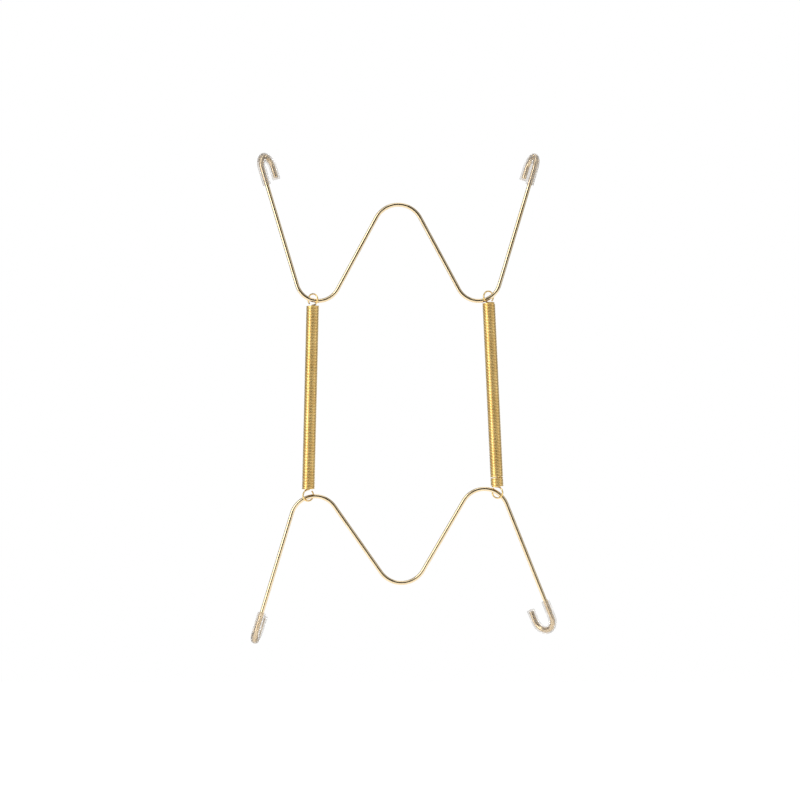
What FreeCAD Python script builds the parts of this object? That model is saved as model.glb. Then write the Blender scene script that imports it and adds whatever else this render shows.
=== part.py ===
# Wire plate hanger: two bent wires drawn together by two extension springs.
# Millimetres and degrees. The origin lies under the upper crown, where the nail bears.
# X runs to the right, Y from the wall towards the plate, Z up.
import FreeCAD, Part
import math
import os

import Sketcher

Vector = FreeCAD.Vector
Placement = FreeCAD.Placement
Rotation = FreeCAD.Rotation

Y_AXIS = Vector(0, 1, 0)
Z_AXIS = Vector(0, 0, 1)

# Each row is an alias of the sheet, its value and what it measures.
SIZES = (
    ("wire_dia", 2.0, "frame wire"),
    ("upper_crown_radius", 12.5, "bend over the nail, on the centreline"),
    ("upper_bow_height", 48.1, "from crown to valley bottom, on the centreline"),
    ("upper_valley_radius", 11.0, "bend of each valley, on the centreline"),
    ("upper_valley_spacing", 80.0, "between the valley bottoms"),
    ("upper_leg_angle", 16.7, "slope of the legs from the upright"),
    ("upper_leg_length", 60.9, "straight leg from valley to hook"),
    ("upper_left_hook_turn", 25.0, "hook turned inwards about its leg"),
    ("upper_right_hook_turn", 16.0, "hook turned inwards about its leg"),
    ("lower_crown_radius", 12.5, "bend of the lower crown, on the centreline"),
    ("lower_bow_height", 45.2, "from crown to valley bottom, on the centreline"),
    ("lower_valley_radius", 12.0, "bend of each valley, on the centreline"),
    ("lower_valley_spacing", 84.8, "between the valley bottoms"),
    ("lower_leg_angle", 19.3, "slope of the legs from the upright"),
    ("lower_leg_length", 60.5, "straight leg from valley to hook"),
    ("lower_left_hook_turn", 5.0, "hook turned inwards about its leg"),
    ("lower_right_hook_turn", 44.0, "hook turned inwards about its leg"),
    ("lower_shift", 2.1, "lower crown to the right of the upper one"),
    ("hook_radius", 6.0, "bend of each hook, on the centreline"),
    ("hook_tip", 5.0, "straight return of each hook"),
    ("sleeve_dia", 4.0, "outside of the soft tube"),
    ("sleeve_clearance", 0.05, "between tube and wire, on the radius"),
    ("sleeve_cover", 8.5, "leg that the tube covers"),
    ("sleeve_overhang", 1.0, "tube past the end of the wire"),
    ("spring_wire_dia", 0.75, "wire of the springs"),
    ("coil_dia", 6.4, "outside of the coil"),
    ("coil_turns", 123.0, "closed turns of each spring"),
    ("drawn_turns", 5.0, "turns at each end that show their lines"),
    ("loop_sweep", 315.0, "arc of each ring loop"),
    ("loop_turn", 42.0, "ring loop turned about the coil's axis"),
    ("curl_inset", 0.12, "curl of the last turn drawn in from the coil"),
    ("seat_gap", 0.12, "between spring and frame wire where they bear"),
    ("upper_play", 1.4, "upper wire below the crest of its loops, springs slack"),
    ("upper_left_seat", 14.0, "place of the loop on its valley, outwards"),
    ("upper_right_seat", 28.0, "place of the loop on its valley, outwards"),
    ("lower_left_seat", 14.0, "place of the loop on its valley, outwards"),
    ("lower_right_seat", 35.5, "place of the loop on its valley, outwards"),
)

doc = FreeCAD.newDocument("plate_hanger")
sheet = doc.addObject("Spreadsheet::Sheet", "Sizes")
for row, (alias, value, note) in enumerate(SIZES, start=1):
    sheet.set(f"A{row}", alias)
    sheet.set(f"B{row}", str(value))
    sheet.set(f"C{row}", note)
    sheet.setAlias(f"B{row}", alias)
doc.recompute()


def size(alias):
    """Return the value of one cell of the sheet."""
    return float(sheet.get(alias))


# Layout: where the bends, hooks and seats lie, worked out from the sheet.


class WireLayout:
    """Centreline of one frame wire in its own frame, crown up and hooks towards +Y."""

    def __init__(self, name):
        self.name = name
        self.crown_radius = size(f"{name}_crown_radius")
        self.valley_radius = size(f"{name}_valley_radius")
        self.leg_angle = math.radians(size(f"{name}_leg_angle"))
        self.leg_length = size(f"{name}_leg_length")
        wire_radius = size("wire_dia") / 2
        self.half_spacing = size(f"{name}_valley_spacing") / 2
        self.crown_z = wire_radius - self.crown_radius
        self.valley_z = wire_radius - size(f"{name}_bow_height") + self.valley_radius

    def crown(self):
        """Return the centre of the crown's bend."""
        return Vector(0, 0, self.crown_z)

    def valley(self, side):
        """Return the centre of a valley's bend, side 1 to the right and -1 to the left."""
        return Vector(side * self.half_spacing, 0, self.valley_z)

    def flank_normal(self, side):
        """Return the direction from the crown's centre to its end, square to the flank."""
        run = self.valley(1) - self.crown()
        bends = self.crown_radius + self.valley_radius
        angle = math.atan2(run.z, run.x) + math.acos(bends / run.Length)
        return Vector(side * math.cos(angle), 0, math.sin(angle))

    def leg_direction(self, side):
        """Return the direction of a leg, from its valley to its hook."""
        return Vector(side * math.sin(self.leg_angle), 0, math.cos(self.leg_angle))

    def inward(self, side):
        """Return the direction square to a leg that points to the middle of the wire."""
        return Vector(-side * math.cos(self.leg_angle), 0, math.sin(self.leg_angle))

    def leg_start(self, side):
        """Return the point where a valley's bend runs out into its leg."""
        return self.valley(side) - self.inward(side) * self.valley_radius

    def leg_end(self, side):
        """Return the point where a leg runs out into its hook."""
        return self.leg_start(side) + self.leg_direction(side) * self.leg_length

    def seat(self, side, angle):
        """Return the point of a valley that lies an angle outwards from its bottom."""
        turn = math.radians(angle)
        outward = Vector(side * math.sin(turn), 0, -math.cos(turn))
        return self.valley(side) + outward * self.valley_radius

    def hook_frame(self, side, turn):
        """Return the frame of a hook: its Y along the leg, its X away from the return."""
        turn = math.radians(turn)
        reach = Y_AXIS * math.cos(turn) + self.inward(side) * math.sin(turn)
        along = self.leg_direction(side)
        return Placement(self.leg_end(side), Rotation(-reach, along, Vector(), "YXZ"))


def loop_radius():
    """Return the centreline radius of the coil, which is that of its ring loops too."""
    return (size("coil_dia") - size("spring_wire_dia")) / 2


def coil_length():
    """Return the length of the closed coil."""
    return size("coil_turns") * size("spring_wire_dia")


def bearing_drop(wire, angle, lean):
    """Return how far a frame wire's centre lies from the crest of the loop that it bears on.

    The crest of the ring comes as near to the curved wire as the seat gap lets it.
    """
    ring = loop_radius()
    need = (size("wire_dia") + size("spring_wire_dia")) / 2 + size("seat_gap")
    turn = math.radians(lean * size("loop_turn"))
    slope = math.radians(angle)
    centre_x = -math.sin(slope) * wire.valley_radius
    centre_z = math.cos(slope) * wire.valley_radius

    def nearest(drop):
        gaps = []
        for step in range(-60, 61):
            around = math.radians(1.5 * step)
            side = ring * math.sin(around)
            from_axis = math.hypot(
                side * math.sin(turn) - centre_x,
                drop - ring + ring * math.cos(around) - centre_z,
            )
            gaps.append(math.hypot(from_axis - wire.valley_radius, side * math.cos(turn)))
        return min(gaps)

    low, high = need, ring
    for _ in range(40):
        middle = (low + high) / 2
        if nearest(middle) < need:
            low = middle
        else:
            high = middle
    return high


def end_reach(wire, side, angle):
    """Return how near a frame wire's centre comes to the upper end of a coil.

    The rim of the coil and the curl across it come as near as the seat gap lets them.
    """
    bare = size("wire_dia") / 2 + size("seat_gap")
    thick = size("spring_wire_dia") / 2
    curl = (loop_radius() - size("curl_inset")) / 2
    slope = math.radians(side * angle)
    centre_x = -math.sin(slope) * wire.valley_radius
    centre_z = math.cos(slope) * wire.valley_radius
    stand = Rotation(Z_AXIS, -90 - side * size("loop_turn"))
    points = []
    for step in range(72):
        around = math.radians(5 * step)
        round_axis = Vector(math.cos(around), math.sin(around), 0)
        points.append((round_axis * (size("coil_dia") / 2), bare))
        if round_axis.x <= 0:
            points.append((stand.multVec(Vector(0, curl, 0) + round_axis * curl), bare + thick))

    def clears(reach):
        for point, need in points:
            from_axis = math.hypot(point.x - centre_x, reach + centre_z)
            if math.hypot(from_axis - wire.valley_radius, point.y) < need:
                return False
        return True

    low, high = 0.0, 4 * loop_radius()
    for _ in range(40):
        middle = (low + high) / 2
        if clears(middle):
            high = middle
        else:
            low = middle
    return high


class SpringLayout:
    """Place of one spring between its seats on the two wires."""

    def __init__(self, side, upper, lower):
        name = "right" if side > 0 else "left"
        self.side = side
        self.wires = (upper, lower)
        self.angles = (size(f"upper_{name}_seat"), size(f"lower_{name}_seat"))
        self.upper_seat = upper.seat(side, self.angles[0])
        # The lower wire hangs upside down, so its own sides are swapped.
        self.lower_seat = lower.seat(-side, self.angles[1])
        self.stand_on(*self.angles)

    def stand_on(self, upper_slope, lower_slope):
        """Set how far the seats lie from the coil, from the slopes of the wires across it.

        The lower wire hangs in the crests of its loops. The upper one has play in its loops,
        down to the end of the coil.
        """
        crest = 2 * loop_radius()
        hung = crest - bearing_drop(self.wires[0], upper_slope, 1)
        resting = end_reach(self.wires[0], self.side, upper_slope)
        self.upper_reach = max(hung - size("upper_play"), resting)
        self.lower_reach = crest - bearing_drop(self.wires[1], lower_slope, -1)
        self.span = coil_length() + self.upper_reach + self.lower_reach

    def settle(self, lower_place, tilt):
        """Stand the loops on their wires anew, with the lower wire's place and tilt known."""
        axis = self.upper_seat - lower_place.multVec(self.lower_seat)
        lean = math.degrees(math.atan2(axis.x, axis.z))
        self.stand_on(self.angles[0] + self.side * lean, self.angles[1] - self.side * (lean + tilt))

    def wire_height(self, tilt):
        """Return the height at which the spring holds the lower wire at a given tilt."""
        seat = Rotation(Y_AXIS, 180 - tilt).multVec(self.lower_seat)
        aside = self.upper_seat.x - size("lower_shift") - seat.x
        return self.upper_seat.z - seat.z - math.sqrt(self.span ** 2 - aside ** 2)

    def placement(self, lower_place):
        """Return the placement of the spring, whose own origin is the middle of its coil."""
        axis = self.upper_seat - lower_place.multVec(self.lower_seat)
        axis.normalize()
        middle = self.upper_seat - axis * (self.upper_reach + coil_length() / 2)
        return Placement(middle, Rotation(Y_AXIS, math.degrees(math.atan2(axis.x, axis.z))))


def balance_tilt(left, right):
    """Return the tilt at which both springs hold the lower wire at one height."""
    low, high = -30.0, 30.0
    for _ in range(60):
        tilt = (low + high) / 2
        if left.wire_height(tilt) < right.wire_height(tilt):
            low = tilt
        else:
            high = tilt
    return tilt


def hang_lower_wire(left, right):
    """Return the placement of the lower wire as the two springs hold it."""
    for _ in range(5):
        tilt = balance_tilt(left, right)
        base = Vector(size("lower_shift"), 0, left.wire_height(tilt))
        place = Placement(base, Rotation(Y_AXIS, 180 - tilt))
        left.settle(place, tilt)
        right.settle(place, tilt)
    return place


# Sketch helpers.


def add_body(label, place):
    """Add a body for one sub-part."""
    body = doc.addObject("PartDesign::Body", label)
    body.Label = label
    body.Placement = place
    return body


def add_sketch(body, name, frame=Placement()):
    """Add a sketch to a body, its plane given by a frame in the body's own coordinates."""
    sketch = body.newObject("Sketcher::SketchObject", name)
    base = [plane for plane in body.Origin.OriginFeatures if plane.Role == "XY_Plane"]
    sketch.AttachmentSupport = [(base[0], "")]
    sketch.MapMode = "FlatFace"
    sketch.AttachmentOffset = frame
    return sketch


def rule(sketch, *terms):
    """Add a constraint with no size of its own."""
    sketch.addConstraint(Sketcher.Constraint(*terms))


def bind(sketch, expression, *terms):
    """Add a constraint whose size is an expression over the sheet."""
    index = sketch.addConstraint(Sketcher.Constraint(*terms))
    sketch.setExpression(f"Constraints[{index}]", expression)


def add_round(sketch, expression, diameter):
    """Draw a circle round the origin of a sketch, its diameter bound to the sheet."""
    circle = sketch.addGeometry(Part.Circle(Vector(), Z_AXIS, diameter / 2))
    rule(sketch, "Coincident", circle, 3, -1, 1)
    bind(sketch, expression, "Diameter", circle, diameter)


def add_pipe(body, name, section, path):
    """Sweep a section along all edges of a path."""
    pipe = body.newObject("PartDesign::AdditivePipe", name)
    pipe.Profile = section
    pipe.Spine = (path, [f"Edge{number + 1}" for number in range(path.GeometryCount)])
    return pipe


def arc(centre, radius, start, end):
    """Return an arc in sketch coordinates, from a start to an end angle in radians."""
    return Part.ArcOfCircle(Part.Circle(centre, Z_AXIS, radius), start, end)


def flat(point):
    """Return the sketch coordinates of a point of the wire's own plane."""
    return Vector(point.x, point.z, 0)


# Frame wires.

FRONT_PLANE = Placement(Vector(), Rotation(Vector(1, 0, 0), Z_AXIS, Vector(), "XYZ"))


def draw_bow(sketch, wire):
    """Draw the plane part of a wire: leg, valley, flank, crown, flank, valley, leg."""
    name = wire.name
    normal = wire.flank_normal(1)
    rise = math.atan2(normal.z, normal.x)
    valley_ends = {
        -1: (math.pi + wire.leg_angle, 2 * math.pi - rise),
        1: (math.pi + rise, 2 * math.pi - wire.leg_angle),
    }

    def add_leg(side):
        start, end = flat(wire.leg_start(side)), flat(wire.leg_end(side))
        return sketch.addGeometry(Part.LineSegment(start, end))

    def add_valley(side):
        bend = arc(flat(wire.valley(side)), wire.valley_radius, *valley_ends[side])
        return sketch.addGeometry(bend)

    def add_flank(side):
        square = wire.flank_normal(side)
        start = wire.crown() + square * wire.crown_radius
        end = wire.valley(side) - square * wire.valley_radius
        return sketch.addGeometry(Part.LineSegment(flat(start), flat(end)))

    legs = {-1: add_leg(-1)}
    valleys = {-1: add_valley(-1)}
    flanks = {-1: add_flank(-1)}
    crown = sketch.addGeometry(arc(flat(wire.crown()), wire.crown_radius, rise, math.pi - rise))
    flanks[1] = add_flank(1)
    valleys[1] = add_valley(1)
    legs[1] = add_leg(1)

    rule(sketch, "PointOnObject", crown, 3, -2)
    bind(sketch, f"Sizes.{name}_crown_radius", "Radius", crown, wire.crown_radius)
    crown_drop = f"Sizes.{name}_crown_radius - Sizes.wire_dia / 2"
    bind(sketch, crown_drop, "DistanceY", crown, 3, -1, 1, -wire.crown_z)
    rule(sketch, "Symmetric", valleys[-1], 3, valleys[1], 3, -2)
    spacing = f"Sizes.{name}_valley_spacing"
    bind(sketch, spacing, "DistanceX", valleys[-1], 3, valleys[1], 3, 2 * wire.half_spacing)
    valley_drop = f"Sizes.{name}_bow_height - Sizes.{name}_valley_radius - Sizes.wire_dia / 2"
    bind(sketch, valley_drop, "DistanceY", valleys[1], 3, -1, 1, -wire.valley_z)
    for side, inner, outer, lean in ((-1, 2, 1, "+"), (1, 1, 2, "-")):
        rule(sketch, "Tangent", crown, inner, flanks[side], 1)
        rule(sketch, "Tangent", flanks[side], 2, valleys[side], inner)
        rule(sketch, "Tangent", valleys[side], outer, legs[side], 1)
        bind(sketch, f"Sizes.{name}_valley_radius", "Radius", valleys[side], wire.valley_radius)
        bind(sketch, f"Sizes.{name}_leg_length", "Distance", legs[side], wire.leg_length)
        slope = f"90 deg {lean} Sizes.{name}_leg_angle * 1 deg"
        bind(sketch, slope, "Angle", legs[side], math.pi / 2 - side * wire.leg_angle)


def draw_hook(sketch, cover, tip_expression, tip):
    """Draw a hook: a half turn from the origin and a straight return, with any leg before it."""
    radius = size("hook_radius")
    if cover:
        lead = sketch.addGeometry(Part.LineSegment(Vector(0, -cover, 0), Vector()))
    bend = sketch.addGeometry(arc(Vector(-radius, 0, 0), radius, 0, math.pi))
    turned = Vector(-2 * radius, 0, 0)
    back = sketch.addGeometry(Part.LineSegment(turned, turned - Y_AXIS * tip))
    rule(sketch, "Coincident", bend, 1, -1, 1)
    rule(sketch, "PointOnObject", bend, 3, -1)
    rule(sketch, "PointOnObject", bend, 2, -1)
    bind(sketch, "Sizes.hook_radius", "Radius", bend, radius)
    rule(sketch, "Tangent", bend, 2, back, 1)
    bind(sketch, tip_expression, "Distance", back, tip)
    if cover:
        rule(sketch, "Coincident", lead, 2, -1, 1)
        rule(sketch, "Vertical", lead)
        bind(sketch, "Sizes.sleeve_cover", "Distance", lead, cover)


def across(frame, offset):
    """Return the frame of a section square to a hook's leg, offset along that leg."""
    return frame.multiply(Placement(Vector(0, offset, 0), Rotation(Vector(1, 0, 0), -90)))


def make_wire(wire, place, turns):
    """Make one frame wire; turns gives the hook's turn at the wire's own left and right."""
    name = wire.name
    body = add_body(f"{name}_wire", place)
    wire_dia = size("wire_dia")
    bow_path = add_sketch(body, f"{name}_bow_path", FRONT_PLANE)
    draw_bow(bow_path, wire)
    bow_section = add_sketch(body, f"{name}_bow_section", across(wire.hook_frame(-1, 0), 0))
    add_round(bow_section, "Sizes.wire_dia", wire_dia)
    add_pipe(body, f"{name}_bow", bow_section, bow_path)
    for side in (-1, 1):
        end = f"{name}_{'left' if side < 0 else 'right'}"
        frame = wire.hook_frame(side, turns[side])
        hook_path = add_sketch(body, f"{end}_hook_path", frame)
        draw_hook(hook_path, 0, "Sizes.hook_tip", size("hook_tip"))
        hook_section = add_sketch(body, f"{end}_hook_section", across(frame, 0))
        add_round(hook_section, "Sizes.wire_dia", wire_dia)
        add_pipe(body, f"{end}_hook", hook_section, hook_path)
    return body


def make_sleeve(label, place):
    """Make the soft tube of one hook, in the hook's own frame."""
    body = add_body(label, place)
    bore = size("wire_dia") + 2 * size("sleeve_clearance")
    tip = size("hook_tip") + size("sleeve_overhang")
    path = add_sketch(body, f"{label}_path")
    draw_hook(path, size("sleeve_cover"), "Sizes.hook_tip + Sizes.sleeve_overhang", tip)
    section = add_sketch(body, f"{label}_section", across(Placement(), -size("sleeve_cover")))
    add_round(section, "Sizes.sleeve_dia", size("sleeve_dia"))
    add_round(section, "Sizes.wire_dia + 2 * Sizes.sleeve_clearance", bore)
    add_pipe(body, f"{label}_tube", section, path)
    return body


# Springs.


def draw_wall(sketch):
    """Draw the half section of the closed coil, whose turns touch and make one wall."""
    outer = size("coil_dia") / 2
    inner = outer - size("spring_wire_dia")
    half = coil_length() / 2
    corners = [
        Vector(inner, -half),
        Vector(outer, -half),
        Vector(outer, half),
        Vector(inner, half),
    ]
    for index, corner in enumerate(corners):
        sketch.addGeometry(Part.LineSegment(corner, corners[(index + 1) % 4]))
    for index in range(4):
        rule(sketch, "Coincident", index, 2, (index + 1) % 4, 1)
        rule(sketch, "Horizontal" if index % 2 == 0 else "Vertical", index)
    bind(sketch, "Sizes.coil_dia / 2", "DistanceX", -1, 1, 0, 2, outer)
    bind(sketch, "Sizes.spring_wire_dia", "Distance", 0, size("spring_wire_dia"))
    bind(sketch, "Sizes.coil_turns * Sizes.spring_wire_dia", "Distance", 1, 2 * half)
    bind(sketch, "Sizes.coil_turns * Sizes.spring_wire_dia / 2", "DistanceY", -1, 1, 1, 2, half)


def draw_turn_line(sketch, end):
    """Draw the notch between the last two turns at one end of the coil."""
    outer = size("coil_dia") / 2
    wire = size("spring_wire_dia")
    level = end * (coil_length() / 2 - wire)
    corners = [
        Vector(outer, level - wire / 2),
        Vector(outer, level + wire / 2),
        Vector(outer - wire / 4, level),
    ]
    for index, corner in enumerate(corners):
        sketch.addGeometry(Part.LineSegment(corner, corners[(index + 1) % 3]))
    for index in range(3):
        rule(sketch, "Coincident", index, 2, (index + 1) % 3, 1)
    rule(sketch, "Vertical", 0)
    rule(sketch, "Equal", 1, 2)
    bind(sketch, "Sizes.coil_dia / 2", "DistanceX", -1, 1, 0, 1, outer)
    bind(sketch, "Sizes.spring_wire_dia", "Distance", 0, wire)
    bind(sketch, "Sizes.spring_wire_dia / 4", "DistanceX", 1, 2, 0, 1, wire / 4)
    first, second = ((-1, 1), (1, 2)) if end > 0 else ((1, 2), (-1, 1))
    bind(
        sketch,
        "(Sizes.coil_turns / 2 - 1) * Sizes.spring_wire_dia",
        "DistanceY", *first, *second, abs(level),
    )


def add_turn_lines(body, label, end):
    """Cut the lines between the last few turns at one end of the coil."""
    sketch = add_sketch(body, f"{label}_turn_line", FRONT_PLANE)
    draw_turn_line(sketch, end)
    groove = body.newObject("PartDesign::Groove", f"{label}_turn_groove")
    groove.Profile = sketch
    groove.ReferenceAxis = (sketch, ["V_Axis"])
    groove.Angle = 360
    doc.recompute()
    lines = body.newObject("PartDesign::LinearPattern", f"{label}_turn_lines")
    lines.Originals = [groove]
    lines.Direction = (sketch, ["V_Axis"])
    lines.Reversed = end > 0
    lines.setExpression("Length", "(Sizes.drawn_turns - 1) * Sizes.spring_wire_dia")
    lines.setExpression("Occurrences", "Sizes.drawn_turns")
    body.Tip = lines
    doc.recompute()


def add_loop(body, label, frame):
    """Add the curl of the last turn to the coil's axis and the ring loop that stands on it."""
    wire_dia = size("spring_wire_dia")
    ring = loop_radius()
    curl = (ring - size("curl_inset")) / 2
    curl_path = add_sketch(body, f"{label}_curl_path", frame)
    bend = curl_path.addGeometry(arc(Vector(0, curl, 0), curl, math.pi / 2, 3 * math.pi / 2))
    rule(curl_path, "Coincident", bend, 2, -1, 1)
    rule(curl_path, "PointOnObject", bend, 3, -2)
    rule(curl_path, "PointOnObject", bend, 1, -2)
    bind(
        curl_path,
        "((Sizes.coil_dia - Sizes.spring_wire_dia) / 2 - Sizes.curl_inset) / 2",
        "Radius", bend, curl,
    )
    start = frame.multiply(Placement(Vector(0, 2 * curl, 0), Rotation(Y_AXIS, 90)))
    curl_section = add_sketch(body, f"{label}_curl_section", start)
    add_round(curl_section, "Sizes.spring_wire_dia", wire_dia)
    add_pipe(body, f"{label}_curl", curl_section, curl_path)

    ring_path = add_sketch(body, f"{label}_ring_path", frame.multiply(FRONT_PLANE))
    sweep = math.radians(size("loop_sweep"))
    loop = ring_path.addGeometry(arc(Vector(0, ring, 0), ring, -math.pi / 2, sweep - math.pi / 2))
    rule(ring_path, "Coincident", loop, 1, -1, 1)
    rule(ring_path, "PointOnObject", loop, 3, -2)
    bind(ring_path, "(Sizes.coil_dia - Sizes.spring_wire_dia) / 2", "Radius", loop, ring)
    bind(ring_path, "Sizes.loop_sweep * 1 deg", "Angle", loop, sweep)
    foot = frame.multiply(Placement(Vector(), Rotation(Y_AXIS, 90)))
    ring_section = add_sketch(body, f"{label}_ring_section", foot)
    add_round(ring_section, "Sizes.spring_wire_dia", wire_dia)
    add_pipe(body, f"{label}_ring", ring_section, ring_path)


def make_spring(label, side, place):
    """Make one extension spring about its own Z axis, the middle of its coil at the origin."""
    body = add_body(label, place)
    wall_sketch = add_sketch(body, f"{label}_wall_section", FRONT_PLANE)
    draw_wall(wall_sketch)
    wall = body.newObject("PartDesign::Revolution", f"{label}_coil")
    wall.Profile = wall_sketch
    wall.ReferenceAxis = (wall_sketch, ["V_Axis"])
    wall.Angle = 360
    doc.recompute()
    for end, name in ((1, "upper"), (-1, "lower")):
        add_turn_lines(body, f"{label}_{name}", end)
        # The near side of a ring leans towards the other spring at the top, away from it below.
        turn = Rotation(Z_AXIS, -90 - end * side * size("loop_turn"))
        stand = turn if end > 0 else turn.multiply(Rotation(Vector(1, 0, 0), 180))
        frame = Placement(Vector(0, 0, end * coil_length() / 2), stand)
        add_loop(body, f"{label}_{name}", frame)
    return body


# Assembly.

upper = WireLayout("upper")
lower = WireLayout("lower")
left_layout = SpringLayout(-1, upper, lower)
right_layout = SpringLayout(1, upper, lower)
upper_place = Placement()
lower_place = hang_lower_wire(left_layout, right_layout)

upper_turns = {-1: size("upper_left_hook_turn"), 1: size("upper_right_hook_turn")}
lower_turns = {1: size("lower_left_hook_turn"), -1: size("lower_right_hook_turn")}

sub_parts = [
    make_wire(upper, upper_place, upper_turns),
    make_wire(lower, lower_place, lower_turns),
    make_spring("left_spring", -1, left_layout.placement(lower_place)),
    make_spring("right_spring", 1, right_layout.placement(lower_place)),
]
for side, name in ((-1, "left"), (1, "right")):
    upper_hook = upper_place.multiply(upper.hook_frame(side, upper_turns[side]))
    lower_hook = lower_place.multiply(lower.hook_frame(-side, lower_turns[-side]))
    sub_parts.append(make_sleeve(f"upper_{name}_sleeve", upper_hook))
    sub_parts.append(make_sleeve(f"lower_{name}_sleeve", lower_hook))
doc.recompute()

for item in doc.Objects:
    if "Invalid" in item.State or "Error" in item.State:
        raise RuntimeError(f"{item.Label} failed: {item.State}")
for part in sub_parts:
    if part.Shape.isNull() or not part.Shape.isValid():
        raise RuntimeError(f"{part.Label} has no valid shape")

os.makedirs("parts", exist_ok=True)
for part in sub_parts:
    part.Shape.exportStep(os.path.join("parts", f"{part.Label}.step"))
    print(f"{part.Label}: {part.Shape.Volume:.1f} mm3, {len(part.Shape.Solids)} solid")
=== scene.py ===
"""Looks of a wire plate hanger: two bent wires with sleeved hooks, drawn together by two springs."""

from __future__ import annotations

import logging
import math
from dataclasses import dataclass
from enum import Enum

import bmesh
import bpy
from mathutils import Matrix, Vector

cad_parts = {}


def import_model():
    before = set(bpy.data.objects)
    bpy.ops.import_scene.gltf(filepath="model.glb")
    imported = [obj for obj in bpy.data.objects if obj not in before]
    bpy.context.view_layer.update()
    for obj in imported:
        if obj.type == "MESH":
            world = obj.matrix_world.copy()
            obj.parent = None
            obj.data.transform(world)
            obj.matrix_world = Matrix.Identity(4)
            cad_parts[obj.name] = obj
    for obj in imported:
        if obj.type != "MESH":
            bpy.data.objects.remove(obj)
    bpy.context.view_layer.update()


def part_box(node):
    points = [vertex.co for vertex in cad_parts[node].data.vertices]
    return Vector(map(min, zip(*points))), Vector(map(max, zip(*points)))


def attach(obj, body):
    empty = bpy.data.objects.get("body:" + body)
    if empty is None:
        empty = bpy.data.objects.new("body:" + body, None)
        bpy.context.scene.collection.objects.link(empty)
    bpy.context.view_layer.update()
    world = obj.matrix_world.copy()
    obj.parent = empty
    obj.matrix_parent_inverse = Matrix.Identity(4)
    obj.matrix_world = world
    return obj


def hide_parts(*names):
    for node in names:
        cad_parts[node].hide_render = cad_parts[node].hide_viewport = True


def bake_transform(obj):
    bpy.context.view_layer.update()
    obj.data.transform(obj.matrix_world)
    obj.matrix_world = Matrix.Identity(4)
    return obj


LOG = logging.getLogger("plate_hanger")
MILLIMETRE = 0.001
TO_METRES = Matrix.Scale(MILLIMETRE, 4)
ORIGIN = Vector((0.0, 0.0, 0.0))
Y_AXIS = Vector((0.0, 1.0, 0.0))
Z_AXIS = Vector((0.0, 0.0, 1.0))
# Turns a section's own axis from Z to Y.
Z_TO_Y = Matrix.Rotation(-math.pi / 2, 4, "X")
# Vertex layer with each vertex's place on the wire's round section, which the die lines follow.
WAY_ROUND = "way_round"
# A noise texture lies mostly between these two values.
NOISE_LOW = 0.3
NOISE_HIGH = 0.7

Colour = tuple[float, float, float]


class Named(Enum):
    """Choice whose name is part of the names of nodes."""

    @property
    def word(self) -> str:
        """Return the choice's name in small letters."""
        return self.name.lower()


class Side(Named):
    """Side of the hanger, or of one of its wires, as the wall sees it."""

    LEFT = -1
    RIGHT = 1

    @property
    def other(self) -> Side:
        """Return the opposite side."""
        return Side(-self.value)


class End(Named):
    """End of a spring, or the wire that it holds there."""

    UPPER = 1
    LOWER = -1


class ShaderBench:
    """Lays out and joins the nodes of one material."""

    def __init__(self, name: str) -> None:
        """Start an empty material.

        Args:
            name: Name of the material.
        """
        self.material = bpy.data.materials.new(name)
        self.material.use_nodes = True
        self.tree = self.material.node_tree
        self.tree.nodes.clear()

    def add(self, kind: str, **sockets: object) -> bpy.types.Node:
        """Add a node and set or join its inputs.

        Args:
            kind: Type of the node, without its common prefix.
            sockets: Values or output sockets for inputs, spaces in their names as underscores.

        Returns:
            The new node.
        """
        node = self.tree.nodes.new(f"ShaderNode{kind}")
        for name, value in sockets.items():
            socket = node.inputs[name.replace("_", " ")]
            if isinstance(value, bpy.types.NodeSocket):
                self.tree.links.new(value, socket)
            else:
                socket.default_value = value
        return node

    def spread(self, value: bpy.types.NodeSocket, low: float, high: float) -> bpy.types.NodeSocket:
        """Spread a noise value over a range.

        Args:
            value: Output of a noise node.
            low: Result for the lowest noise.
            high: Result for the highest noise.

        Returns:
            The output socket with the result.
        """
        node = self.add(
            "MapRange",
            Value=value,
            From_Min=NOISE_LOW,
            From_Max=NOISE_HIGH,
            To_Min=low,
            To_Max=high,
        )
        return node.outputs["Result"]

    def mix(self, factor: bpy.types.NodeSocket, first: Colour, second: Colour) -> bpy.types.NodeSocket:
        """Mix two colours.

        Args:
            factor: Share of the second colour.
            first: Colour where the factor is 0.
            second: Colour where the factor is 1.

        Returns:
            The output socket with the colour.
        """
        node = self.add("Mix")
        node.data_type = "RGBA"
        # The node's sockets share their names among its types, so they go by number.
        self.tree.links.new(factor, node.inputs[0])
        node.inputs[6].default_value = (*first, 1.0)
        node.inputs[7].default_value = (*second, 1.0)
        return node.outputs[2]

    def weigh(
        self, first: bpy.types.NodeSocket, second: bpy.types.NodeSocket, share: float
    ) -> bpy.types.NodeSocket:
        """Mix two noise values.

        Args:
            first: Output of one noise node.
            second: Output of the other.
            share: Share of the second value.

        Returns:
            The output socket with the mixed value.
        """
        node = self.add("Mix")
        node.inputs[0].default_value = share
        self.tree.links.new(first, node.inputs[2])
        self.tree.links.new(second, node.inputs[3])
        return node.outputs[0]

    def finish(self, shader: bpy.types.Node) -> bpy.types.Material:
        """Join a shader to the output.

        Args:
            shader: Node whose first output is the surface.

        Returns:
            The finished material.
        """
        self.add("OutputMaterial", Surface=shader.outputs[0])
        return self.material


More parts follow.
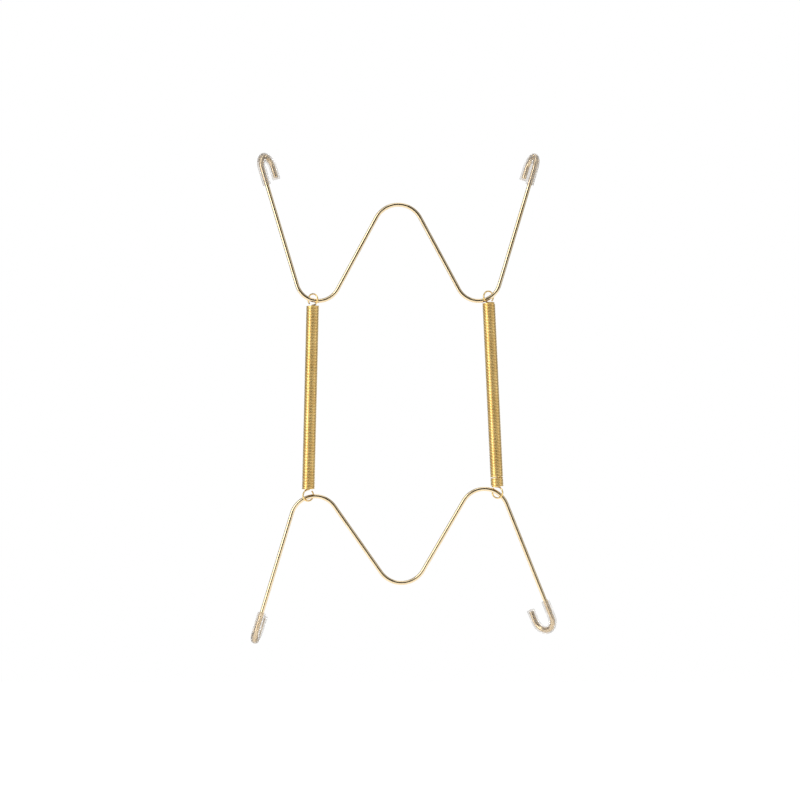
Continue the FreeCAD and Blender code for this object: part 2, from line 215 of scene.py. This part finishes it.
@dataclass(frozen=True)
class BrassFinish:
    """Bright brass plating on drawn wire: fine grain and, where they show, die lines along the wire.

    The patches and the grain are scaled per metre, the lines per radius of the wire, the relief in metres.
    """

    name: str
    bright: Colour
    deep: Colour
    smoothest: float
    roughest: float
    line_share: float = 0.0
    patch_scale: float = 90.0
    grain_scale: float = 2600.0
    line_scale: float = 7.0
    relief: float = 0.00002
    relief_share: float = 0.12

    def material(self) -> bpy.types.Material:
        """Lay out the plating's nodes.

        Returns:
            The finished material.
        """
        bench = ShaderBench(self.name)
        place = bench.add("TexCoord").outputs["Object"]
        patches = bench.add("TexNoise", Vector=place, Scale=self.patch_scale, Detail=4.0, Roughness=0.6)
        grain = bench.add("TexNoise", Vector=place, Scale=self.grain_scale, Detail=3.0, Roughness=0.7)
        tone = bench.spread(patches.outputs["Fac"], 0.0, 1.0)
        texture = grain.outputs["Fac"]
        if self.line_share:
            section = bench.add("Attribute")
            section.attribute_name = WAY_ROUND
            spot = section.outputs["Vector"]
            lines = bench.add("TexNoise", Vector=spot, Scale=self.line_scale, Detail=6.0, Roughness=0.75)
            texture = bench.weigh(texture, lines.outputs["Fac"], self.line_share)
        bump = bench.add("Bump", Strength=self.relief_share, Distance=self.relief, Height=texture)
        shader = bench.add(
            "BsdfPrincipled",
            Base_Color=bench.mix(tone, self.bright, self.deep),
            Metallic=1.0,
            Roughness=bench.spread(texture, self.smoothest, self.roughest),
            Normal=bump.outputs["Normal"],
        )
        return bench.finish(shader)


@dataclass(frozen=True)
class VinylFinish:
    """Clear soft vinyl, a little cloudy and warm.

    A low index and a partial cover let the wire inside show as it is. Scales are per metre.
    """

    name: str
    clear: Colour
    cloudy: Colour
    smoothest: float = 0.04
    roughest: float = 0.1
    index: float = 1.2
    cover: float = 0.74
    clearness: float = 0.84
    cloud_scale: float = 420.0
    ripple_scale: float = 160.0
    relief: float = 0.0001
    relief_share: float = 0.1

    def material(self) -> bpy.types.Material:
        """Lay out the vinyl's nodes.

        Returns:
            The finished material.
        """
        bench = ShaderBench(self.name)
        place = bench.add("TexCoord").outputs["Object"]
        clouds = bench.add("TexNoise", Vector=place, Scale=self.cloud_scale, Detail=3.0, Roughness=0.5)
        ripple = bench.add("TexNoise", Vector=place, Scale=self.ripple_scale, Detail=2.0, Roughness=0.5)
        height = ripple.outputs["Fac"]
        cloudiness = bench.spread(clouds.outputs["Fac"], 0.0, 1.0)
        bump = bench.add("Bump", Strength=self.relief_share, Distance=self.relief, Height=height)
        shader = bench.add(
            "BsdfPrincipled",
            Base_Color=bench.mix(cloudiness, self.clear, self.cloudy),
            Roughness=bench.spread(height, self.smoothest, self.roughest),
            IOR=self.index,
            Alpha=self.cover,
            Transmission_Weight=self.clearness,
            Normal=bump.outputs["Normal"],
        )
        return bench.finish(shader)


class Bender:
    """Feeds a section along a path and bends it, as a wire-bending machine does."""

    def __init__(self, start: Matrix, radii: tuple[float, ...], sides: int = 24) -> None:
        """Set the section at the start of the path.

        Args:
            start: Frame of the section, its Z along the path.
            radii: Radii of the section's rings, none for a bare centreline.
            sides: Sides of each ring.
        """
        self.mesh = bmesh.new()
        self.rims: list[list[bmesh.types.BMEdge]] = []
        self.front: list[bmesh.types.BMVert | bmesh.types.BMEdge] = []
        if not radii:
            self.front = [self.mesh.verts.new(start.translation)]
            return
        way_round = self.mesh.verts.layers.float_vector.new(WAY_ROUND)
        for radius in radii:
            ring = bmesh.ops.create_circle(self.mesh, segments=sides, radius=1.0)
            for vert in ring["verts"]:
                vert[way_round] = vert.co.normalized()
            bmesh.ops.transform(self.mesh, matrix=start @ Matrix.Scale(radius, 4), verts=ring["verts"])
        self.front = list(self.mesh.edges)
        self.rims.append(list(self.mesh.edges))

    def feed(self, run: Vector) -> None:
        """Run the section straight on by a way to go."""
        self._spin(ORIGIN, Z_AXIS, 0.0, run, 1)

    def bend(self, centre: Vector, axis: Vector, angle: float, steps: int, rise: float = 0.0) -> None:
        """Run the section round a bend.

        Args:
            centre: Point on the axis of the bend.
            axis: Direction of that axis.
            angle: Angle of the bend, by the right-hand rule.
            steps: Number of pieces to divide it into.
            rise: Way along the axis that goes with the bend.
        """
        self._spin(centre, axis, angle, axis * (rise / steps), steps)

    def _spin(self, centre: Vector, axis: Vector, angle: float, step: Vector, steps: int) -> None:
        """Sweep the front of the path.

        Args:
            centre: Point on the axis of the turn.
            axis: Direction of that axis.
            angle: Angle of the whole turn.
            step: Way that each step goes besides the turn.
            steps: Number of steps.
        """
        done = bmesh.ops.spin(
            self.mesh,
            geom=self.front,
            cent=centre,
            axis=axis,
            dvec=step,
            angle=angle,
            steps=steps,
            use_merge=False,
            use_duplicate=False,
        )
        kept = bmesh.types.BMEdge if self.rims else bmesh.types.BMVert
        self.front = [item for item in done["geom_last"] if isinstance(item, kept)]

    def widen(self, frame: Matrix, share: float) -> None:
        """Widen what lies above a frame's XY plane.

        Args:
            frame: The frame, to be widened along its X axis.
            share: New width over the old one.
        """
        inside = frame.inverted()
        above = [vert for vert in self.mesh.verts if (inside @ vert.co).z > 0.0]
        bmesh.ops.scale(self.mesh, vec=(share, 1.0, 1.0), space=inside, verts=above)

    def close(self, edge: float) -> None:
        """Close both ends of the sweep and round off their sharp edges.

        Args:
            edge: Width of the rounded edge.
        """
        self.rims.append(self.front)
        for rim in self.rims:
            if len(self._rings(rim)) == 1:
                bmesh.ops.edgeloop_fill(self.mesh, edges=rim)
            else:
                bmesh.ops.bridge_loops(self.mesh, edges=rim)
        bmesh.ops.recalc_face_normals(self.mesh, faces=self.mesh.faces)
        bmesh.ops.bevel(
            self.mesh,
            geom=[side for rim in self.rims for side in rim],
            offset=edge,
            offset_type="OFFSET",
            segments=2,
            profile=0.5,
            affect="EDGES",
            material=-1,
        )
        for face in self.mesh.faces:
            face.smooth = True

    @staticmethod
    def _rings(edges: list[bmesh.types.BMEdge]) -> list[set[bmesh.types.BMVert]]:
        """Sort edges into closed rings.

        Args:
            edges: Edges of one end of a sweep.

        Returns:
            The vertices of each ring.
        """
        rings: list[set[bmesh.types.BMVert]] = []
        for edge in edges:
            met = [ring for ring in rings if ring & set(edge.verts)]
            for ring in met:
                rings.remove(ring)
            rings.append(set(edge.verts).union(*met))
        return rings

    def piece(self, name: str, place: Matrix, material: bpy.types.Material) -> bpy.types.Object:
        """Make an object of the sweep.

        Args:
            name: Name of the piece.
            place: Place of the sweep, in millimetres.
            material: Finish of the piece.

        Returns:
            The object, at the origin with its place in its mesh.
        """
        bmesh.ops.transform(self.mesh, matrix=TO_METRES @ place, verts=self.mesh.verts)
        return link_mesh(name, self.mesh, material)


def link_mesh(name: str, shape: bmesh.types.BMesh, material: bpy.types.Material) -> bpy.types.Object:
    """Make an object of a mesh and put it in the scene.

    Args:
        name: Name of the object.
        shape: Its mesh, which is freed.
        material: Its finish.

    Returns:
        The object, at the origin.
    """
    data = bpy.data.meshes.new(name)
    shape.to_mesh(data)
    shape.free()
    data.materials.append(material)
    made = bpy.data.objects.new(name, data)
    bpy.context.scene.collection.objects.link(made)
    return made


@dataclass(frozen=True)
class HookShape:
    """Bend of a hook and the soft tube on it, in millimetres."""

    radius: float = 6.0
    tip: float = 5.0
    tube_outside: float = 2.0
    tube_inside: float = 1.05
    tube_cover: float = 8.5
    tube_overhang: float = 1.0
    tube_edge: float = 0.15
    tube_sides: int = 48
    tube_steps: int = 64


@dataclass
class FrameWire:
    """One bent frame wire with its two hooks, in its own frame: crown up, hooks towards +Y.

    Sizes are millimetres on the centreline, angles are degrees.
    """

    end: End
    place: Matrix
    crown_radius: float
    bow_height: float
    valley_radius: float
    valley_spacing: float
    leg_angle: float
    leg_length: float
    hook_turns: dict[Side, float]
    hook: HookShape = HookShape()
    wire_radius: float = 1.0
    wire_edge: float = 0.12
    bend_steps: int = 24
    crown_steps: int = 28

    def crown(self) -> Vector:
        """Return the centre of the crown's bend."""
        return Vector((0.0, 0.0, self.wire_radius - self.crown_radius))

    def valley(self, side: Side) -> Vector:
        """Return the centre of a valley's bend."""
        height = self.wire_radius - self.bow_height + self.valley_radius
        return Vector((side.value * self.valley_spacing / 2, 0.0, height))

    def rise(self) -> float:
        """Return the angle over the level of the line square to the right flank."""
        run = self.valley(Side.RIGHT) - self.crown()
        return math.atan2(run.z, run.x) + math.acos((self.crown_radius + self.valley_radius) / run.length)

    def leg(self, side: Side) -> Vector:
        """Return the direction of a leg, from its valley to its hook."""
        slope = math.radians(self.leg_angle)
        return Vector((side.value * math.sin(slope), 0.0, math.cos(slope)))

    def inward(self, side: Side) -> Vector:
        """Return the direction square to a leg that points to the middle of the wire."""
        slope = math.radians(self.leg_angle)
        return Vector((-side.value * math.cos(slope), 0.0, math.sin(slope)))

    def flank(self) -> Vector:
        """Work out the straight run of the right flank.

        Returns:
            The way from the crown's bend down to the valley's.
        """
        square = Vector((math.cos(self.rise()), 0.0, math.sin(self.rise())))
        start = self.crown() + square * self.crown_radius
        return self.valley(Side.RIGHT) - square * self.valley_radius - start

    def hook_frame(self, side: Side) -> Matrix:
        """Work out the frame of a hook: its Y along the leg, its X away from the return.

        Args:
            side: The wire's own side.

        Returns:
            The frame, its origin where the leg runs out into the hook.
        """
        turn = math.radians(self.hook_turns[side])
        along = self.leg(side)
        away = -(Y_AXIS * math.cos(turn) + self.inward(side) * math.sin(turn))
        start = self.valley(side) - self.inward(side) * self.valley_radius + along * self.leg_length
        turned = Matrix((away, along, away.cross(along))).transposed().to_4x4()
        return Matrix.Translation(start) @ turned

    def bend_wire(self, material: bpy.types.Material) -> bpy.types.Object:
        """Bend the wire from its left tip to its right tip.

        Args:
            material: Finish of the wire.

        Returns:
            The wire's object.
        """
        hook = self.hook
        left = self.hook_frame(Side.LEFT)
        right = self.hook_frame(Side.RIGHT)
        hook_centre = Vector((-hook.radius, 0.0, 0.0))
        tip = Matrix.Translation((-2 * hook.radius, -hook.tip, 0.0))
        valley_angle = math.pi - self.rise() - math.radians(self.leg_angle)
        flank = self.flank()
        bender = Bender(left @ tip @ Z_TO_Y, (self.wire_radius,))
        bender.feed(left.col[1].to_3d() * hook.tip)
        bender.bend(left @ hook_centre, left.col[2].to_3d(), -math.pi, self.bend_steps)
        bender.feed(-self.leg(Side.LEFT) * self.leg_length)
        bender.bend(self.valley(Side.LEFT), Y_AXIS, -valley_angle, self.bend_steps)
        bender.feed(Vector((flank.x, 0.0, -flank.z)))
        bender.bend(self.crown(), Y_AXIS, math.pi - 2 * self.rise(), self.crown_steps)
        bender.feed(flank)
        bender.bend(self.valley(Side.RIGHT), Y_AXIS, -valley_angle, self.bend_steps)
        bender.feed(self.leg(Side.RIGHT) * self.leg_length)
        bender.bend(right @ hook_centre, right.col[2].to_3d(), math.pi, self.bend_steps)
        bender.feed(-right.col[1].to_3d() * hook.tip)
        bender.close(self.wire_edge)
        made = bender.piece(f"{self.end.word}_bent_wire", self.place, material)
        return self._dress(made, f"{self.end.word}_wire", "frame_wire")

    def sleeve_hook(self, side: Side, shown: Side, material: bpy.types.Material) -> bpy.types.Object:
        """Push a soft tube over one hook.

        Args:
            side: The wire's own side.
            shown: The side of the hanger on which that hook lies.
            material: Finish of the tube.

        Returns:
            The tube's object.
        """
        hook = self.hook
        start = Matrix.Translation((0.0, -hook.tube_cover, 0.0)) @ Z_TO_Y
        bender = Bender(start, (hook.tube_outside, hook.tube_inside), hook.tube_sides)
        bender.feed(Y_AXIS * hook.tube_cover)
        bender.bend(Vector((-hook.radius, 0.0, 0.0)), Z_AXIS, math.pi, hook.tube_steps)
        bender.feed(-Y_AXIS * (hook.tip + hook.tube_overhang))
        bender.close(hook.tube_edge)
        corner = f"{self.end.word}_{shown.word}"
        made = bender.piece(f"{corner}_tube", self.place @ self.hook_frame(side), material)
        return self._dress(made, f"{corner}_sleeve", "clear_tube")

    def _dress(self, made: bpy.types.Object, node: str, slot: str) -> bpy.types.Object:
        """Let a piece stand for its node and move with this wire.

        Args:
            made: The piece.
            node: The node that it stands for.
            slot: Not used.

        Returns:
            The piece.
        """
        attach(made, f"{self.end.word}_frame")
        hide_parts(node)
        return made


@dataclass
class ExtensionSpring:
    """One close-wound spring with a ring loop at each end, in millimetres about its own Z axis.

    Its lean is degrees about Y, and its open turn is the gap that one slack turn shows.
    """

    side: Side
    lean: float
    open_turn: float
    turns_below_gap: int = 5
    wire_radius: float = 0.375
    wire_sides: int = 10
    coil_radius: float = 2.825
    coil_length: float = 92.25
    turns: int = 121
    turn_steps: int = 30
    curl_steps: int = 20
    loop_sweep: float = 315.0
    loop_turn: float = 42.0
    loop_width: float = 1.3
    loop_steps: int = 40

    @property
    def node(self) -> str:
        """Return the name of the spring's node."""
        return f"{self.side.word}_spring"

    def place(self) -> Matrix:
        """Work out where the spring hangs.

        Returns:
            Its place in millimetres, its middle that of its node.
        """
        low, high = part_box(self.node)
        middle = (Vector(low) + Vector(high)) / (2 * MILLIMETRE)
        return Matrix.Translation(middle) @ Matrix.Rotation(math.radians(self.lean), 4, "Y")

    def loop_frame(self, end: End) -> Matrix:
        """Work out the frame of a ring loop: its Z out of the coil, the ring in its XZ plane.

        Args:
            end: End of the spring.

        Returns:
            The frame, its origin where the ring leaves the coil.
        """
        turn = math.radians(-90.0 - end.value * self.side.value * self.loop_turn)
        foot = Matrix.Translation(Z_AXIS * (end.value * self.coil_length / 2))
        frame = foot @ Matrix.Rotation(turn, 4, "Z")
        if end is End.LOWER:
            frame = frame @ Matrix.Rotation(math.pi, 4, "X")
        return frame

    def wind(self, material: bpy.types.Material) -> bpy.types.Object:
        """Wind the spring from its lower loop to its upper one.

        Args:
            material: Finish of the wire.

        Returns:
            The spring's object.
        """
        ring = self.coil_radius
        sweep = math.radians(self.loop_sweep)
        lower = self.loop_frame(End.LOWER)
        upper = self.loop_frame(End.UPPER)
        ring_centre = Vector((0.0, 0.0, ring))
        curl_centre = Vector((0.0, ring / 2, 0.0))
        tip = Vector((ring * math.sin(sweep), 0.0, ring - ring * math.cos(sweep)))
        total = self.turns + 0.5 - self.side.value * self.loop_turn / 180.0
        pitch = (self.coil_length - 2 * self.wire_radius - self.open_turn) / total
        turns_above_gap = total - self.turns_below_gap - 1
        runs = (
            (self.turns_below_gap, pitch),
            (1, pitch + self.open_turn),
            (turns_above_gap, pitch),
        )
        bender = Bender(Matrix.Translation(lower @ tip), ())
        bender.bend(lower @ ring_centre, -lower.col[1].to_3d(), -sweep, self.loop_steps)
        bender.bend(lower @ curl_centre, lower.col[2].to_3d(), -math.pi, self.curl_steps, -self.wire_radius)
        for count, rise in runs:
            bender.bend(ORIGIN, Z_AXIS, count * math.tau, round(count * self.turn_steps), count * rise)
        bender.bend(upper @ curl_centre, upper.col[2].to_3d(), math.pi, self.curl_steps, self.wire_radius)
        bender.bend(upper @ ring_centre, -upper.col[1].to_3d(), sweep, self.loop_steps)
        for frame in (lower, upper):
            bender.widen(frame, self.loop_width)
        made = bender.piece(f"{self.side.word}_coil", self.place(), material)
        self._make_round(made, material)
        return self._dress(made)

    def _make_round(self, made: bpy.types.Object, material: bpy.types.Material) -> None:
        """Give the wound centreline the thickness of its wire.

        Args:
            made: The spring's object.
            material: Finish of the wire.
        """
        tree = bpy.data.node_groups.new(f"{made.name}_round_wire", "GeometryNodeTree")
        tree.interface.new_socket("Centreline", in_out="INPUT", socket_type="NodeSocketGeometry")
        tree.interface.new_socket("Wire", in_out="OUTPUT", socket_type="NodeSocketGeometry")
        section = tree.nodes.new("GeometryNodeCurvePrimitiveCircle")
        section.inputs["Resolution"].default_value = self.wire_sides
        section.inputs["Radius"].default_value = self.wire_radius * MILLIMETRE
        last = tree.nodes.new("NodeGroupInput")
        for kind in ("MeshToCurve", "CurveToMesh", "SetShadeSmooth", "SetMaterial"):
            node = tree.nodes.new(f"GeometryNode{kind}")
            tree.links.new(last.outputs[0], node.inputs[0])
            if kind == "CurveToMesh":
                tree.links.new(section.outputs["Curve"], node.inputs["Profile Curve"])
                node.inputs["Fill Caps"].default_value = True
            if kind == "SetMaterial":
                node.inputs["Material"].default_value = material
            last = node
        tree.links.new(last.outputs[0], tree.nodes.new("NodeGroupOutput").inputs[0])
        made.modifiers.new("round_wire", "NODES").node_group = tree

    def _dress(self, made: bpy.types.Object) -> bpy.types.Object:
        """Let the spring stand for its node, its place baked into its mesh.

        Args:
            made: The spring's object.

        Returns:
            The spring's object.
        """
        place = TO_METRES @ self.place()
        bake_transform(made)
        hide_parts(self.node)
        return made


WIRE_PLATING = BrassFinish(
    "wire_plating",
    bright=(0.86, 0.71, 0.47),
    deep=(0.77, 0.60, 0.36),
    smoothest=0.13,
    roughest=0.24,
    line_share=0.75,
)
SPRING_PLATING = BrassFinish(
    "spring_plating",
    bright=(0.91, 0.68, 0.29),
    deep=(0.82, 0.57, 0.21),
    smoothest=0.16,
    roughest=0.28,
)
CLEAR_VINYL = VinylFinish("clear_vinyl", clear=(0.95, 0.92, 0.885), cloudy=(0.9, 0.86, 0.815))


@dataclass
class PlateHanger:
    """Two frame wires with sleeved hooks, drawn together by two springs."""

    upper: FrameWire
    lower: FrameWire
    springs: tuple[ExtensionSpring, ...]

    def build(self) -> list[bpy.types.Object]:
        """Make every piece in its finish.

        Returns:
            The pieces.
        """
        wire_plating = WIRE_PLATING.material()
        spring_plating = SPRING_PLATING.material()
        vinyl = CLEAR_VINYL.material()
        pieces = [wire.bend_wire(wire_plating) for wire in (self.upper, self.lower)]
        for side in Side:
            pieces.append(self.upper.sleeve_hook(side, side, vinyl))
            pieces.append(self.lower.sleeve_hook(side.other, side, vinyl))
        pieces.extend(spring.wind(spring_plating) for spring in self.springs)
        return pieces


@dataclass(frozen=True)
class Panel:
    """Grey panel round the hanger that only its reflections show.

    Its sides are angles from the camera to the right, its low and high edges angles over the level.
    """

    name: str
    sides: tuple[float, float]
    edges: tuple[float, float]
    brightness: float
    radius: float = 1.7
    steps: int = 8

    def stand(self) -> None:
        """Stand the panel in the studio."""
        first, last = (math.radians(angle) for angle in self.sides)
        low, high = (math.radians(angle) for angle in self.edges)
        sheet = bmesh.new()
        foot = sheet.verts.new((math.sin(first), -math.cos(first), 0.0))
        level = Vector((-math.cos(first), -math.sin(first), 0.0))
        bmesh.ops.rotate(sheet, verts=[foot], cent=ORIGIN, matrix=Matrix.Rotation(low, 3, level))
        bmesh.ops.spin(sheet, geom=[foot], cent=ORIGIN, axis=level, angle=high - low, steps=self.steps)
        edge = list(sheet.verts) + list(sheet.edges)
        bmesh.ops.spin(sheet, geom=edge, cent=ORIGIN, axis=Z_AXIS, angle=last - first, steps=self.steps)
        bmesh.ops.scale(sheet, verts=sheet.verts, vec=(self.radius, self.radius, self.radius))
        panel = link_mesh(self.name, sheet, self._material())
        panel.visible_camera = False
        panel.visible_diffuse = False
        panel.visible_shadow = False

    def _material(self) -> bpy.types.Material:
        """Make the panel grey in reflections, and white like the background through the clear tubes.

        Returns:
            The panel's material.
        """
        bench = ShaderBench(self.name)
        depth = bench.add("LightPath").outputs["Glossy Depth"]
        shade = bench.add("MapRange", Value=depth, To_Min=1.0, To_Max=self.brightness)
        return bench.finish(bench.add("Emission", Strength=shade.outputs["Result"]))


PANELS = (
    Panel("front_panel", sides=(-28.0, 36.0), edges=(-18.0, 80.0), brightness=0.03),
    Panel("low_panel", sides=(-180.0, 180.0), edges=(-85.0, -18.0), brightness=0.06, steps=24),
    Panel("right_panel", sides=(36.0, 100.0), edges=(-18.0, 80.0), brightness=0.5),
    Panel("right_back_panel", sides=(100.0, 150.0), edges=(-60.0, 70.0), brightness=0.3),
    Panel("left_back_panel", sides=(-175.0, -85.0), edges=(-60.0, 70.0), brightness=0.3),
)


@dataclass(frozen=True)
class Lamp:
    """Soft rectangular lamp, in metres and watts."""

    name: str
    place: tuple[float, float, float]
    width: float
    height: float
    power: float

    def stand(self, target: Vector) -> None:
        """Stand the lamp in the studio.

        Args:
            target: Point that it looks at.
        """
        data = bpy.data.lights.new(self.name, "AREA")
        data.shape = "RECTANGLE"
        data.size = self.width
        data.size_y = self.height
        data.energy = self.power
        lamp = bpy.data.objects.new(self.name, data)
        lamp.location = self.place
        lamp.rotation_euler = (target - Vector(self.place)).to_track_quat("-Z", "Y").to_euler()
        bpy.context.scene.collection.objects.link(lamp)


LAMPS = (
    Lamp("key_lamp", place=(-1.1, -0.8, 0.2), width=0.5, height=1.5, power=8.0),
    Lamp("fill_lamp", place=(1.3, -0.3, 0.1), width=0.4, height=1.3, power=1.2),
    Lamp("top_lamp", place=(0.0, -0.3, 1.1), width=0.9, height=0.6, power=2.0),
)


@dataclass
class Studio:
    """White studio with soft lamps, a pale floor and a level camera, in metres."""

    floor_height: float = -0.62
    floor_reach: float = 3.0
    floor_tone: float = 0.82
    floor_glow: float = 0.72
    soft_light: float = 0.4
    look_at: tuple[float, float, float] = (0.0009, 0.0, -0.09665)
    distance: float = 1.1111
    lens: float = 100.0
    sensor: float = 36.0

    def set_up(self) -> None:
        """Build the whole studio."""
        bpy.context.scene.view_settings.view_transform = "Standard"
        self._world()
        self._floor()
        for lamp in LAMPS:
            lamp.stand(Vector(self.look_at))
        for panel in PANELS:
            panel.stand()
        self._camera()

    @staticmethod
    def _white_share(tree: bpy.types.NodeTree) -> bpy.types.NodeSocket:
        """Tell the rays that see the white background.

        Args:
            tree: Nodes of the world or of a material.

        Returns:
            The output socket that is 1 for those rays.
        """
        path = tree.nodes.new("ShaderNodeLightPath")
        total = path.outputs["Is Camera Ray"]
        for name in ("Is Glossy Ray", "Is Transmission Ray"):
            node = tree.nodes.new("ShaderNodeMath")
            node.operation = "MAXIMUM"
            tree.links.new(total, node.inputs[0])
            tree.links.new(path.outputs[name], node.inputs[1])
            total = node.outputs[0]
        return total

    def _world(self) -> None:
        """Make a world that is white to look at and lights softly."""
        world = bpy.data.worlds.new("studio")
        bpy.context.scene.world = world
        world.use_nodes = True
        tree = world.node_tree
        tree.nodes.clear()
        strength = tree.nodes.new("ShaderNodeMapRange")
        tree.links.new(self._white_share(tree), strength.inputs["Value"])
        strength.inputs["To Min"].default_value = self.soft_light
        strength.inputs["To Max"].default_value = 1.0
        background = tree.nodes.new("ShaderNodeBackground")
        background.inputs["Color"].default_value = (1.0, 1.0, 1.0, 1.0)
        tree.links.new(strength.outputs["Result"], background.inputs["Strength"])
        output = tree.nodes.new("ShaderNodeOutputWorld")
        tree.links.new(background.outputs[0], output.inputs["Surface"])

    def _floor(self) -> None:
        """Lay the pale floor."""
        bench = ShaderBench("pale_floor")
        paint = bench.add("BsdfDiffuse", Color=(self.floor_tone, self.floor_tone, self.floor_tone, 1.0))
        glow = bench.add("Emission", Color=(1.0, 1.0, 1.0, 1.0), Strength=self.floor_glow)
        lit = bench.add("AddShader")
        bench.tree.links.new(paint.outputs[0], lit.inputs[0])
        bench.tree.links.new(glow.outputs[0], lit.inputs[1])
        either = bench.add("MixShader", Fac=self._white_share(bench.tree))
        bench.tree.links.new(paint.outputs[0], either.inputs[1])
        bench.tree.links.new(lit.outputs[0], either.inputs[2])
        sheet = bmesh.new()
        bmesh.ops.create_grid(sheet, x_segments=1, y_segments=1, size=self.floor_reach)
        bmesh.ops.translate(sheet, verts=sheet.verts, vec=(0.0, 0.0, self.floor_height))
        link_mesh("floor", sheet, bench.finish(either))

    def _camera(self) -> None:
        """Set the camera square to the hanger, on the wall's side."""
        data = bpy.data.cameras.new("camera")
        data.lens = self.lens
        data.sensor_width = self.sensor
        data.clip_start = 0.01
        camera = bpy.data.objects.new("camera", data)
        camera.location = Vector(self.look_at) - Y_AXIS * self.distance
        camera.rotation_euler = (math.pi / 2, 0.0, 0.0)
        bpy.context.scene.collection.objects.link(camera)
        bpy.context.scene.camera = camera


def measured_hanger() -> PlateHanger:
    """Set the sizes of the hanger's wires and springs.

    Returns:
        The hanger, not yet built.
    """
    upper = FrameWire(
        End.UPPER,
        Matrix.Identity(4),
        crown_radius=12.5,
        bow_height=48.1,
        valley_radius=11.0,
        valley_spacing=80.0,
        leg_angle=16.7,
        leg_length=60.9,
        hook_turns={Side.LEFT: 25.0, Side.RIGHT: 16.0},
    )
    # The lower wire hangs crown down and 2.45 degrees askew.
    upside_down = Matrix.Rotation(math.radians(180.0 - 2.45), 4, "Y")
    lower = FrameWire(
        End.LOWER,
        Matrix.Translation((2.1, 0.0, -187.107)) @ upside_down,
        crown_radius=12.5,
        bow_height=45.2,
        valley_radius=12.0,
        valley_spacing=84.8,
        leg_angle=19.3,
        leg_length=60.5,
        hook_turns={Side.LEFT: 44.0, Side.RIGHT: 5.0},
    )
    springs = (
        ExtensionSpring(Side.LEFT, lean=1.38, open_turn=0.12),
        ExtensionSpring(Side.RIGHT, lean=-2.63, open_turn=0.4),
    )
    return PlateHanger(upper, lower, springs)


def main() -> None:
    """Build the hanger and the studio round it."""
    logging.basicConfig(level=logging.INFO, format="%(name)s: %(message)s")
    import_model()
    for piece in measured_hanger().build():
        LOG.info("%s stands in place", piece.name)
    Studio().set_up()


if __name__ == "__main__":
    main()
